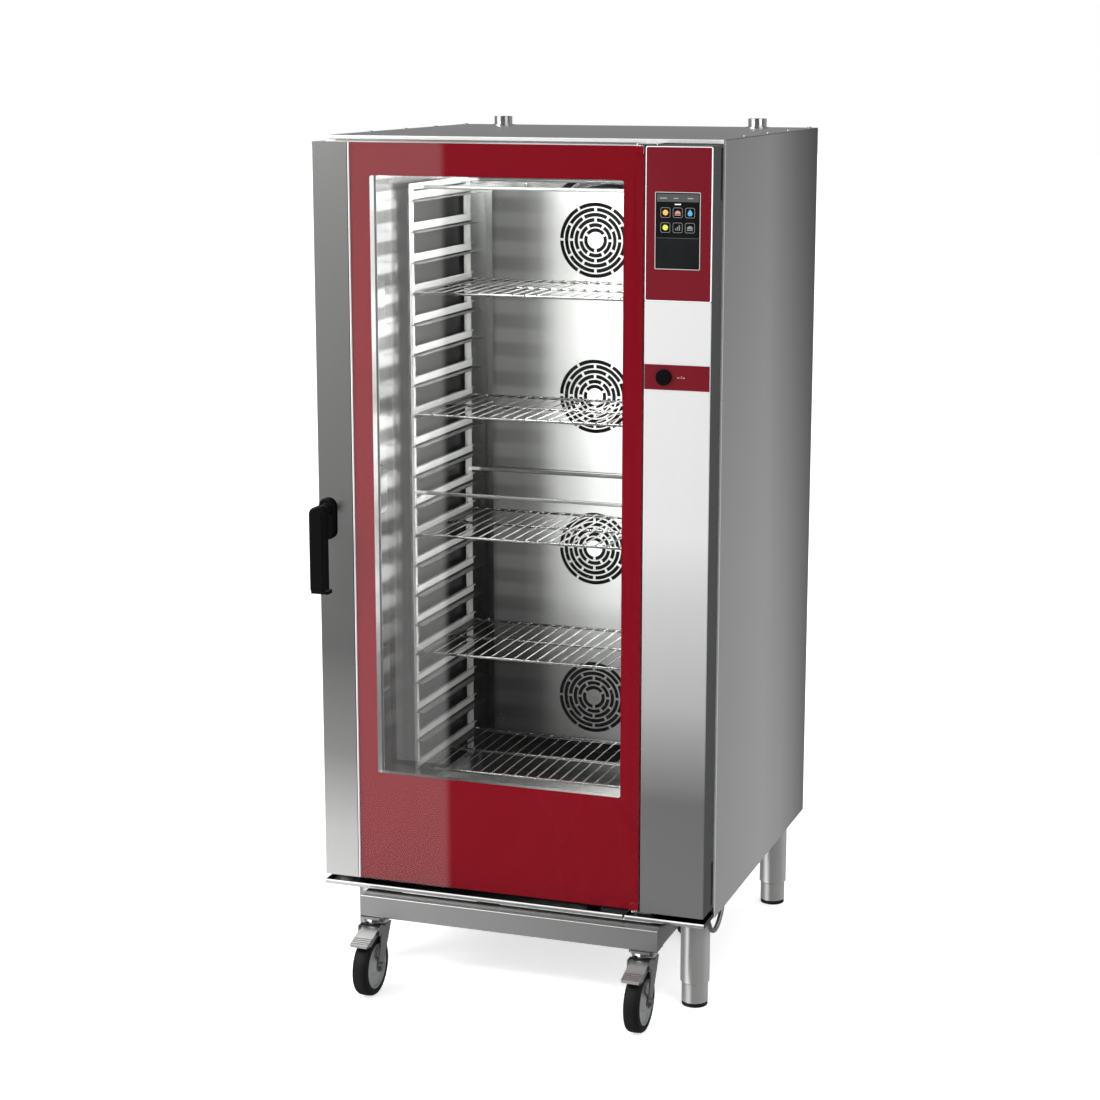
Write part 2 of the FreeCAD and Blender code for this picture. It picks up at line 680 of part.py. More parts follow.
def handle_base():
    """Fixed boss under the lever."""
    base = rounded(5, 41, -88, DOOR_FRONT, 948, 1033, 17.5, "Y")
    front_edges = [e for e in base.Edges if e.BoundBox.YMax < -87.9]
    base = base.makeFillet(4, front_edges)
    base = join([base, rod(HANDLE_X, -96, HANDLE_Z, 15.5, 12, "Y")])
    return [base.cut(spindle_bore())]


def handle_lever():
    """Lever: round pivot neck, and a long rounded grip that hangs from it."""
    shoulder = rounded(8, 40, -142, -117, 870, 1024, 15.5, "Y")
    lower = rounded(8, 40, -142, -117, 850, 960, 5, "Y")
    grip = join([shoulder, lower])
    outer = [e for e in grip.Edges if e.BoundBox.YMax < -141.9]
    grip = grip.makeFillet(4, outer)
    foot = rounded(8, 46, -138, -114, 846, 853, 3, "Z")
    neck = rod(HANDLE_X, -121, HANDLE_Z, 14, 24.7, "Y")
    web = rounded(11, 35, -121, -104, 975, 1020, 4, "Y")
    lever = join([grip, foot, neck, web])
    return [lever.cut(rod(HANDLE_X, -118, HANDLE_Z, SPINDLE_R, 30, "Y"))]


def latch_spindle():
    """Shaft through the door with the latch tongue on its inner end."""
    shaft = rod(HANDLE_X, -118, HANDLE_Z, SPINDLE_R, 107, "Y")
    tongue = rounded(HANDLE_X - 9, HANDLE_X + 9, -17, -11, HANDLE_Z - 9, HANDLE_Z + 24,
                     4, "Y")
    return [join([shaft, tongue])]


def trolley_frame():
    """Welded trolley frame: front beam, side rails, cross rails and castor plates."""
    back = BEAM_FRONT + BEAM_DEPTH
    rail_z = (166.0, 203.0)
    rear = 498.0
    beam = rounded(TROLLEY_LEFT, TROLLEY_RIGHT, BEAM_FRONT, back, BEAM_BOTTOM, BEAM_TOP,
                   2.5, "X")
    beam = beam.cut(block(TROLLEY_LEFT + 2, TROLLEY_RIGHT - 2, BEAM_FRONT + 2, back - 2,
                          BEAM_BOTTOM + 2, BEAM_TOP - 2))
    lip = block(TROLLEY_LEFT, TROLLEY_RIGHT, -95, -92, BEAM_TOP - 1, 211)
    rails = [box_tube(TROLLEY_LEFT, TROLLEY_LEFT + 30, back, rear, *rail_z, 2, "Y"),
             box_tube(TROLLEY_RIGHT - 30, TROLLEY_RIGHT, back, rear, *rail_z, 2, "Y")]
    for y in (150, 445):
        rails.append(box_tube(TROLLEY_LEFT + 30, TROLLEY_RIGHT - 30, y, y + 30,
                              *rail_z, 2, "X"))
    plates = []
    for x, y in CASTORS.values():
        plate = rounded(x - 25, x + 25, y - 30, y + 30, 160, 163.5, 6, "Z")
        ring = rod(x, y, 150, 24, 10.5, "Z")
        riser = block(x - 12, x + 12, y - 12, y + 12, 163, rail_z[0] + 1)
        plates.append(join([plate, ring, riser]))
    frame = join([beam, lip] + rails + plates)
    for x, y in CASTORS.values():
        frame = frame.cut(rod(x, y, 149, AXLE_R + RUNNING_GAP, 16, "Z"))
    return [frame]


def trolley_deck():
    """Floor of the cavity, carried on four posts above the trolley frame."""
    plate = block(96, 680, 70, 632, DECK_Z, DECK_Z + 3)
    lips = [
        block(96, 680, 70, 72, DECK_Z, DECK_Z + 22),
        block(96, 680, 630, 632, DECK_Z, DECK_Z + 22),
        block(96, 98, 70, 632, DECK_Z, DECK_Z + 22),
        block(678, 680, 70, 632, DECK_Z, DECK_Z + 22),
    ]
    posts = [block(x, x + 26, y + 2, y + 28, 203, DECK_Z)
             for x in (150, 600) for y in (150, 445)]
    return [join([plate] + lips + posts)]


def rack_frame():
    """Uprights, side rails and cross rods of the shelf rack."""
    bottom = DECK_Z + 3
    top = 1650.0
    parts = []
    for x0, x1 in ((RACK_LEFT, RACK_LEFT + 6), (RACK_RIGHT - 6, RACK_RIGHT)):
        parts.append(block(x0, x1, RACK_FRONT, RACK_FRONT + 10, bottom, top))
        parts.append(block(x0, x1, 455, RACK_BACK, bottom, top))
        for z in (345, top - 12):
            parts.append(block(x0, x1, RACK_FRONT + 10, 455, z, z + 12))
    for z in (300.0, 1010.0, top - 6):
        for y in (RACK_FRONT + 5, 467):
            parts.append(rod(RACK_LEFT + 3, y, z, 4, RACK_RIGHT - RACK_LEFT - 6, "X"))
    return [join(parts)]


def rack_runners():
    """Folded shelf runners, one pair per shelf level."""
    runners = []
    for row in range(ROW_COUNT):
        z = LOWEST_ROW + row * ROW_PITCH
        for mirror in (False, True):
            x = RACK_LEFT + 6
            web = block(x, x + 1.5, RACK_FRONT + 5, RACK_BACK, z - 1.5, z + 19)
            ledge = block(x, x + 20, 140, 492, z - 1.5, z)
            lip = block(x, x + 7, RACK_FRONT + 5, RACK_BACK, z + 17.5, z + 19)
            runner = join([web, ledge, lip])
            if mirror:
                runner = runner.mirror(FreeCAD.Vector(CAVITY_MID, 0, 0), AXES["X"])
            runners.append(runner)
    return runners


def wire_grid():
    """One gastronorm 1/1 wire shelf on the lowest level."""
    z = LOWEST_ROW + 3
    parts = [rod(123, y, z, 3.0, 530, "X") for y in (152, 310, 468)]
    count = 21
    for k in range(count):
        x = 133 + k * 25.5
        parts.append(rod(x, 149.5, z + 3.2, 1.6, 321, "Y"))
    for x in (127, 649):
        parts.append(rod(x, 149.5, z + 3.2, 1.6, 321, "Y"))
    return join(parts)


def wire_grids():
    """Five equal wire shelves."""
    first = wire_grid()
    grids = []
    for row in GRID_ROWS:
        grid = first.copy()
        grid.translate(FreeCAD.Vector(0, 0, row * ROW_PITCH))
        grids.append(grid)
    return grids


def drip_pan():
    """Shallow pan below the lowest shelf, its rim on the lower side rails."""
    rim = 357.0
    outer = rounded(130, 646, 156, 472, rim - 34, rim, 14, "Z")
    inner = rounded(131.5, 644.5, 157.5, 470.5, rim - 32.5, rim + 1, 12.5, "Z")
    pan = outer.cut(inner)
    flange = rounded(112, 664, 160, 454, rim, rim + 1.5, 4, "Z")
    hole = rounded(131.5, 644.5, 157.5, 470.5, rim - 1, rim + 3, 12.5, "Z")
    return [join([pan, flange.cut(hole)])]


def caster_fork(x, y, brake):
    """Swivel fork: kingpin, crown, two raked legs and the wheel axle."""
    wheel_y = y - TRAIL
    crown = rod(x, y, 140, 25, 5, "Z")
    neck = rod(x, y, 144, 14, 5.6, "Z")
    pin = rod(x, y, 140, AXLE_R, 23, "Z")
    parts = [crown, neck, pin]
    outline = [(y + 22, 144), (y - 24, 144), (wheel_y - 12, 66), (wheel_y - 8, 53),
               (wheel_y + 8, 53), (wheel_y + 14, 66)]
    for x0, x1 in ((x - 24, x - 21), (x + 21, x + 24)):
        parts.append(plate_yz(outline, x0, x1))
        if brake:
            ears = [(y - 20, 148), (wheel_y - 7, 148), (wheel_y - 7, 131), (y - 20, 131)]
            parts.append(plate_yz(ears, x0, x1))
    parts.append(block(x - 24, x + 24, y - 14, y + 16, 140, 144))
    parts.append(rod(x - 27, wheel_y, WHEEL_R, AXLE_R, 54, "X"))
    for x0 in (x - 29, x + 24):
        parts.append(rod(x0, wheel_y, WHEEL_R, 9, 5, "X"))
    fork = join(parts)
    if brake:
        bore = PEDAL_PIN_R + RUNNING_GAP
        fork = fork.cut(rod(x - 30, wheel_y, PEDAL_Z, bore, 60, "X"))
    return [fork]


def caster_wheel(x, y):
    """Tyre, disc and hub with the axle bore."""
    wheel_y = y - TRAIL
    half = WHEEL_WIDTH / 2
    tyre = rod(x - half, wheel_y, WHEEL_R, WHEEL_R, WHEEL_WIDTH, "X")
    tyre = round_rims(tyre, 6, "X", (x - half, x + half))
    for side in (x - half - 1, x + half - 5):
        tyre = tyre.cut(tube(side, wheel_y, WHEEL_R, 47, 17, 6, "X"))
    hub = rod(x - 19, wheel_y, WHEEL_R, 14, 38, "X")
    wheel = join([tyre, hub])
    return [wheel.cut(rod(x - 20, wheel_y, WHEEL_R, AXLE_R + RUNNING_GAP, 40, "X"))]


def brake_pedal(x, y):
    """Ribbed toe pedal, sloping forward, that pivots between the ears of a front fork."""
    wheel_y = y - TRAIL
    plate = rounded(x - 20, x + 20, wheel_y - 60, wheel_y + 5, PEDAL_Z - 2, PEDAL_Z + 3.5,
                    3, "Z")
    cheeks = [block(x0, x0 + 2.5, wheel_y - 46, wheel_y + 5, PEDAL_Z - 7, PEDAL_Z)
              for x0 in (x - 20, x + 17.5)]
    teeth = [block(x - 20, x + 20, wheel_y - 60 + k * 6, wheel_y - 57 + k * 6,
                   PEDAL_Z + 3, PEDAL_Z + 5) for k in range(5)]
    pedal = join([plate] + cheeks + teeth)
    pedal.rotate(FreeCAD.Vector(x, wheel_y, PEDAL_Z), AXES["X"], PEDAL_SLOPE)
    pin = rod(x - 23.9, wheel_y, PEDAL_Z, PEDAL_PIN_R, 47.8, "X")
    return [join([pedal, pin])]


def build_all():
    """Write every piece."""
    fixed = [
        top_cover, cover_screws, side_panels, back_panel, rear_connections, base_frame,
        leg_tubes, front_frame, cavity_liner, cavity_insulation, side_air_panels,
        fan_baffles, fan_motors, heating_elements, steam_pipe, lamp_covers, door_gasket,
        column_housing, column_cover, control_glass, touch_screen, control_board,
        vent_stubs, hinge_brackets, column_drip_channel,
    ]
    moving = [
        door_glass, door_print, door_frame, door_side_strip, door_inner_glass,
        door_drip_channel, handle_base, handle_lever, latch_spindle, usb_cap,
        trolley_frame, trolley_deck, rack_frame, rack_runners, wire_grids, drip_pan,
    ]
    for make in fixed + moving:
        save(make.__name__, make())
    for number, z in enumerate(FAN_Z, start=1):
        save("fan_wheel_" + str(number), fan_wheel(z))
    for place, (x, y) in LEGS.items():
        save("foot_" + place, levelling_foot(x, y))
    for place, (x, y) in CASTORS.items():
        brake = place.startswith("front")
        save("caster_fork_" + place, caster_fork(x, y, brake))
        save("caster_wheel_" + place, caster_wheel(x, y))
        if brake:
            save("brake_pedal_" + place, brake_pedal(x, y))


os.makedirs("parts", exist_ok=True)
build_all()
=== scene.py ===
"""Looks of the roll-in combi steamer: materials, fine pieces, studio and camera."""
import json
import math

import bpy
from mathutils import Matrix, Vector

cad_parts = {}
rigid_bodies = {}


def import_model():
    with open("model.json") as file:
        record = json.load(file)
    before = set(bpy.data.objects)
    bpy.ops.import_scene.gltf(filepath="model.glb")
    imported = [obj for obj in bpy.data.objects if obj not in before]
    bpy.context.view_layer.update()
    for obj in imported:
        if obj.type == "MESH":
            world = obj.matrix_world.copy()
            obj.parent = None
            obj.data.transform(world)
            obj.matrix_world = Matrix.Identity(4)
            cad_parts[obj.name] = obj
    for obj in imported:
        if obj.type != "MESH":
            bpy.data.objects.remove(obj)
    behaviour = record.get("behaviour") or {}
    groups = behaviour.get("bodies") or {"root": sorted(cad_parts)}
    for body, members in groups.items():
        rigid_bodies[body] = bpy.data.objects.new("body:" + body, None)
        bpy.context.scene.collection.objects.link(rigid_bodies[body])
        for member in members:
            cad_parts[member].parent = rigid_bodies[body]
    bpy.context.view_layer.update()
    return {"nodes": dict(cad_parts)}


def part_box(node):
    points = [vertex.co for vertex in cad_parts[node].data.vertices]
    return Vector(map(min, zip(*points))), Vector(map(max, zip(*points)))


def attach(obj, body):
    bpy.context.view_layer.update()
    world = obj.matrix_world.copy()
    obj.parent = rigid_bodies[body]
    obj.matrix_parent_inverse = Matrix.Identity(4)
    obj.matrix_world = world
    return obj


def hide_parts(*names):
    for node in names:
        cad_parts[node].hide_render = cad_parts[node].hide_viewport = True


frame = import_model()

NODES = frame["nodes"]
MM = 0.001
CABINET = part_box("side_panels")
LEFT_SIDE = CABINET[0].x
FRONT_PLANE = CABINET[0].y
DOOR_BOTTOM = 232
DOOR_TOP = 1742
GLASS_FACE = -73.0
SCREEN_FACE = GLASS_FACE - 0.7
CORNERS = ("front_left", "front_right", "rear_left", "rear_right")
FANS = (1, 2, 3, 4)
RUNG_PITCH = 63.5 * MM
WHITE = (1, 1, 1, 1)


# ------------------------------------------------------------------ places

def across(x):
    """Row-frame x of millimetres right of the cabinet's left side."""
    return LEFT_SIDE + x * MM


def depth(y):
    """Row-frame y of millimetres behind the cabinet's front plane."""
    return FRONT_PLANE + y * MM


def height(z):
    """Row-frame z of millimetres above the floor."""
    return z * MM


def at(x, y, z):
    """Row-frame point from millimetres right of, behind and above the cabinet's corner."""
    return Vector((across(x), depth(y), height(z)))


def in_mm(box):
    """Low and high corners of a box in millimetres, counted as in at()."""
    return [((v.x - LEFT_SIDE) / MM, (v.y - FRONT_PLANE) / MM, v.z / MM) for v in box]


# --------------------------------------------------------- shader node tools

def add_node(owner, kind, **values):
    """Node in a material or world, with named inputs or settings filled in."""
    node = owner.node_tree.nodes.new(kind)
    for key, value in values.items():
        name = key.replace("_", " ").title()
        if name in node.inputs:
            node.inputs[name].default_value = value
        else:
            setattr(node, key, value)
    return node


def link(owner, source, target):
    """Join an output socket to an input socket."""
    owner.node_tree.links.new(source, target)


def maths(owner, operation, first, second=0.0):
    """Result of an operation on one or two values, each a float or a socket."""
    node = add_node(owner, "ShaderNodeMath", operation=operation)
    for slot, value in zip(node.inputs, (first, second)):
        if isinstance(value, float):
            slot.default_value = value
        else:
            link(owner, value, slot)
    return node.outputs[0]


def spread(owner, source, low, high, start=0.3, end=0.7, clamp=True, step="LINEAR"):
    """Map a value that runs from start to end onto low to high."""
    node = add_node(owner, "ShaderNodeMapRange", from_min=start, from_max=end, to_min=low,
                    to_max=high, clamp=clamp, interpolation_type=step)
    link(owner, source, node.inputs["Value"])
    return node.outputs["Result"]


def own_axes(owner, space="Object"):
    """The x, y and z of the shaded point, by name."""
    coords = add_node(owner, "ShaderNodeTexCoord")
    axes = add_node(owner, "ShaderNodeSeparateXYZ")
    link(owner, coords.outputs[space], axes.inputs[0])
    return axes.outputs


def stretched_noise(mat, scale, detail):
    """Noise in the piece's own coordinates, stretched by a scale per axis."""
    coords = add_node(mat, "ShaderNodeTexCoord")
    mapping = add_node(mat, "ShaderNodeMapping", scale=scale)
    noise = add_node(mat, "ShaderNodeTexNoise", scale=1.0, detail=detail)
    link(mat, coords.outputs["Object"], mapping.inputs["Vector"])
    link(mat, mapping.outputs["Vector"], noise.inputs["Vector"])
    return noise.outputs["Fac"]


def multiplied(mat, colour, factor, share=None):
    """Product of a colour socket and another socket, faded by a share if one is given."""
    mix = add_node(mat, "ShaderNodeMix", data_type="RGBA", blend_type="MULTIPLY", factor=1.0)
    first, second = [s for s in mix.inputs if s.type == "RGBA"]
    product = [s for s in mix.outputs if s.type == "RGBA"][0]
    if share:
        link(mat, share, mix.inputs["Factor"])
    link(mat, colour, first)
    link(mat, factor, second)
    return product


# ----------------------------------------------------------------- materials

def new_material(name, colour, metallic, roughness):
    """Principled material with plain values, returned with its shader."""
    mat = bpy.data.materials.new(name)
    mat.use_nodes = True
    shader = mat.node_tree.nodes["Principled BSDF"]
    shader.inputs["Base Color"].default_value = (*colour, 1)
    shader.inputs["Metallic"].default_value = metallic
    shader.inputs["Roughness"].default_value = roughness
    return mat, shader


def add_bump(mat, shader, relief, strength, distance):
    """Fine relief from a texture value."""
    bump = add_node(mat, "ShaderNodeBump", strength=strength, distance=distance)
    link(mat, relief, bump.inputs["Height"])
    link(mat, bump.outputs["Normal"], shader.inputs["Normal"])


def tinted(mat, factor, colour, darker, lighter):
    """Colour that a texture value moves between a darker and a lighter shade."""
    ramp = add_node(mat, "ShaderNodeValToRGB")
    dark, light = ramp.color_ramp.elements
    dark.color = (*[c * darker for c in colour], 1)
    light.color = (*[min(1.0, c * lighter) for c in colour], 1)
    link(mat, factor, ramp.inputs["Fac"])
    return ramp.outputs["Color"]


def shaded_along(mat, colour, axis, stops, rise=None):
    """Multiply a colour by a brightness that runs through (metres, brightness) stops: painted
    light, shade and reflections.

    A rise is the pair of heights between which the change sets in.
    """
    low, high = stops[0][0], stops[-1][0]
    axes = own_axes(mat)
    ramp = add_node(mat, "ShaderNodeValToRGB")
    points = ramp.color_ramp.elements
    while len(points) < len(stops):
        points.new(0.5)
    for point, (where, bright) in zip(points, stops):
        point.position = (where - low) / (high - low)
        point.color = (bright, bright, bright, 1)
    link(mat, spread(mat, axes[axis], 0.0, 1.0, low, high), ramp.inputs["Fac"])
    share = spread(mat, axes["Z"], 0.0, 1.0, *rise) if rise else None
    return multiplied(mat, colour, ramp.outputs["Color"], share)


def rippled(mat, colour, low, high, axis, full, gone):
    """Multiply a colour by soft level bands: painted reflections of the rungs of a rack.

    Along the axis the bands are at full strength up to one place and gone at another.
    """
    share = spread(mat, own_axes(mat)[axis], 1.0, 0.0, full, gone)
    coords = add_node(mat, "ShaderNodeTexCoord")
    wave = add_node(mat, "ShaderNodeTexWave", bands_direction="Z", wave_profile="SIN",
                    scale=math.pi / 10 / RUNG_PITCH, distortion=0.5, detail=1.0,
                    detail_scale=0.6)
    link(mat, coords.outputs["Object"], wave.inputs["Vector"])
    bands = spread(mat, wave.outputs["Fac"], low, high, 0.25, 0.75)
    return multiplied(mat, colour, bands, share)


def shelved(mat, colour, lowest, edge, dark):
    """Paint shade on the ledge at the foot of every shelf runner, from the lowest one up."""
    softness = 0.03
    level = spread(mat, own_axes(mat)["Z"], 0.0, 1.0, lowest, lowest + RUNG_PITCH, clamp=False)
    rest = maths(mat, "FRACT", level)
    return multiplied(mat, colour, spread(mat, rest, dark, 1.0, edge, edge + softness))


def brushed(name, colour, roughness, grain, contrast=0.03, shades=(), metallic=1.0,
            bands=None, ledges=None):
    """Brushed steel with the grain along one axis, and painted light and shade along any axes
    that are given.
    """
    mat, shader = new_material(name, colour, metallic, roughness)
    along_grain, across_grain = 5.0, 1100.0
    scale = [along_grain if axis == grain else across_grain for axis in "XYZ"]
    fine = stretched_noise(mat, scale, 2.0)
    cloud = stretched_noise(mat, (3.0, 3.0, 2.0), 2.0)
    tone = maths(mat, "ADD", spread(mat, fine, -0.3, 0.3), spread(mat, cloud, 0.35, 0.65))
    shaded = tinted(mat, tone, colour, 1 - contrast, 1 + contrast)
    for change in shades:
        shaded = shaded_along(mat, shaded, *change)
    if bands:
        shaded = rippled(mat, shaded, *bands)
    if ledges:
        shaded = shelved(mat, shaded, *ledges)
    link(mat, shaded, shader.inputs["Base Color"])
    varied = spread(mat, fine, roughness - 0.02, roughness + 0.02)
    link(mat, varied, shader.inputs["Roughness"])
    return mat


def plastic(name, colour, roughness, grain=1400.0, relief=0.25, shine=0.25):
    """Moulded plastic, rubber or paint with a fine even texture."""
    mat, shader = new_material(name, colour, 0.0, roughness)
    shader.inputs["Specular IOR Level"].default_value = shine
    fine = stretched_noise(mat, (grain, grain, grain), 2.0)
    cloud = stretched_noise(mat, (9.0, 9.0, 9.0), 3.0)
    link(mat, tinted(mat, cloud, colour, 0.82, 1.2), shader.inputs["Base Color"])
    varied = spread(mat, cloud, roughness - 0.06, roughness + 0.06)
    link(mat, varied, shader.inputs["Roughness"])
    add_bump(mat, shader, fine, relief, 0.3 * MM)
    return mat


def enamel(name, colour, gloss, shades=()):
    """Coloured enamel seen through glass: deep, even and glossy, with painted light along any
    axes that are given.
    """
    mat, shader = new_material(name, colour, 0.0, 0.25)
    shader.inputs["Specular IOR Level"].default_value = gloss
    cloud = stretched_noise(mat, (4.0, 4.0, 2.0), 2.0)
    shaded = tinted(mat, cloud, colour, 0.96, 1.04)
    for change in shades:
        shaded = shaded_along(mat, shaded, *change)
    link(mat, shaded, shader.inputs["Base Color"])
    link(mat, spread(mat, cloud, 0.2, 0.3), shader.inputs["Roughness"])
    return mat


def mirror_share(mat, gloss):
    """How much of a pane's outer face is mirror; its inner faces have none."""
    slant = add_node(mat, "ShaderNodeFresnel")
    slant.inputs["IOR"].default_value = 1.45
    side = add_node(mat, "ShaderNodeNewGeometry")
    front = maths(mat, "SUBTRACT", 1.0, side.outputs["Backfacing"])
    return maths(mat, "MULTIPLY", maths(mat, "MULTIPLY", slant.outputs["Fac"], gloss), front)


def clear_glass(name, tint, gloss):
    """Clear pane: straight through it, with an outer mirror image that grows at a slant."""
    mat = bpy.data.materials.new(name)
    mat.use_nodes = True
    nodes = mat.node_tree.nodes
    nodes.remove(nodes["Principled BSDF"])
    smears = stretched_noise(mat, (5.0, 5.0, 3.0), 2.0)
    clear = add_node(mat, "ShaderNodeBsdfTransparent", color=(*tint, 1))
    mirror = add_node(mat, "ShaderNodeBsdfAnisotropic", color=(0.97, 0.95, 0.95, 1))
    link(mat, spread(mat, smears, 0.0, 0.012), mirror.inputs["Roughness"])
    mix = add_node(mat, "ShaderNodeMixShader")
    link(mat, mirror_share(mat, gloss), mix.inputs["Fac"])
    link(mat, clear.outputs[0], mix.inputs[1])
    link(mat, mirror.outputs[0], mix.inputs[2])
    link(mat, mix.outputs[0], nodes["Material Output"].inputs["Surface"])
    return mat


PLACES = {"X": across, "Y": depth, "Z": height}


def shade(axis, *stops, rise=None):
    """Painted light and shade along an axis, from (millimetres, brightness) stops, for
    shaded_along.
    """
    placed = [(PLACES[axis](where), bright) for where, bright in stops]
    return axis, placed, rise and [height(z) for z in rise]


# Painted light on the side panels: a painted highlight along the front edge, painted shade
# towards the rear and, above the rise, towards the top.
SIDE_SHADES = (
    shade("Y", (0, 2.2), (3, 2.0), (6, 0.88), (120, 0.93), (380, 1.06), (540, 0.94), (650, 0.70),
          (757, 0.42)),
    shade("Y", (330, 1.0), (560, 0.62), (757, 0.50), rise=(300, 1752)),
    shade("Z", (208, 1.08), (900, 1.0), (1752, 0.74)),
)
# Painted highlight along the front edge of the top cover.
TOP_SHADES = (shade("Y", (-9, 2.4), (-1, 1.9), (4, 0.9), (757, 1.0)),)
# Painted reflections on the door strip: bright at the bottom, darker above.
STRIP_SHADES = (
    shade("Z", (232, 1.75), (330, 1.55), (499, 0.72), (724, 0.38), (1072, 0.46), (1318, 0.50),
          (1742, 0.52)),
)
# Painted reflections on the column cover: dark at the bottom, brighter above.
COVER_SHADES = (
    shade("Z", (231, 0.17), (464, 0.15), (600, 0.34), (662, 0.45), (860, 0.60), (1000, 0.77),
          (1453, 0.80)),
)
# Painted reflections and shade in the cavity and on the lamp lenses: dark behind the rack,
# bright at the rear, much brighter towards the top.
LINER_SHADES = (
    shade("Y", (0, 1.0), (120, 0.9), (160, 0.40), (505, 0.45), (530, 1.7), (620, 1.5),
          (650, 0.5)),
    shade("Z", (400, 0.28), (620, 0.36), (1000, 0.90), (1400, 2.0), (1690, 3.0)),
)
# Painted reflections on the fan baffles: dark on the left, bright on the right, darker towards
# the bottom.
BAFFLE_SHADES = (
    shade("X", (153, 0.12), (165, 0.20), (225, 0.20), (262, 0.30), (310, 0.80), (391, 1.25),
          (623, 1.4)),
    shade("Z", (390, 0.20), (600, 0.34), (720, 0.74), (836, 0.90), (1175, 1.05), (1622, 1.1)),
)
# Painted shade inside the drip channel; only its front edge keeps its colour.
CHANNEL_SHADES = (shade("Y", (-77.5, 1.0), (-75.5, 1.0), (-74.8, 0.03), (0, 0.02)),)
# Painted light on the red print: a little brighter low down and in the middle than at the top.
PRINT_SHADES = (shade("Z", (DOOR_BOTTOM, 1.10), (900, 1.15), (DOOR_TOP, 1.0)),)
# Painted reflection on the door frame: darker in the middle, up to three times brighter at the
# right end.
JAMB_SHADES = (shade("X", (90, 1.2), (250, 0.7), (430, 1.5), (600, 3.0)),)
# Painted shade on the grille hubs: dark low down, bright high up.
HUB_SHADES = (shade("Z", (390, 0.10), (560, 0.12), (700, 0.5), (836, 0.9), (1622, 1.1)),)
# Painted light on the rack and runners: brighter towards the top.
RUNNER_SHADES = (shade("Z", (400, 0.45), (900, 0.75), (1300, 1.0), (1660, 1.25)),)
# Painted reflection on the rack: the cross rods between the side frames darkened.
RACK_SHADES = RUNNER_SHADES + (
    shade("X", (112, 1.0), (140, 1.0), (146, 0.20), (630, 0.20), (636, 1.0)),
)
# Painted light and shade on the drip pan: a lit front part, painted shade behind it, brighter
# towards the right.
PAN_SHADES = (
    shade("Y", (156, 1.0), (405, 1.0), (435, 0.12), (472, 0.08)),
    shade("X", (130, 0.5), (290, 0.6), (400, 1.4), (500, 2.6)),
)

# Painted reflections of the rack's rungs: darkest and brightest band, the axis they fade along,
# and where they start and stop fading.
WALL_REFLECTION_BANDS = (0.16, 1.15, "Y", depth(300), depth(420))
BAFFLE_REFLECTION_BANDS = (0.78, 1.12, "X", across(190), across(310))

# Painted shade on the runner ledges: height of the lowest ledge, its share of the space between
# rungs, and its brightness.
RUNNER_LEDGE_SHADE = (height(406), 0.08, 0.06)

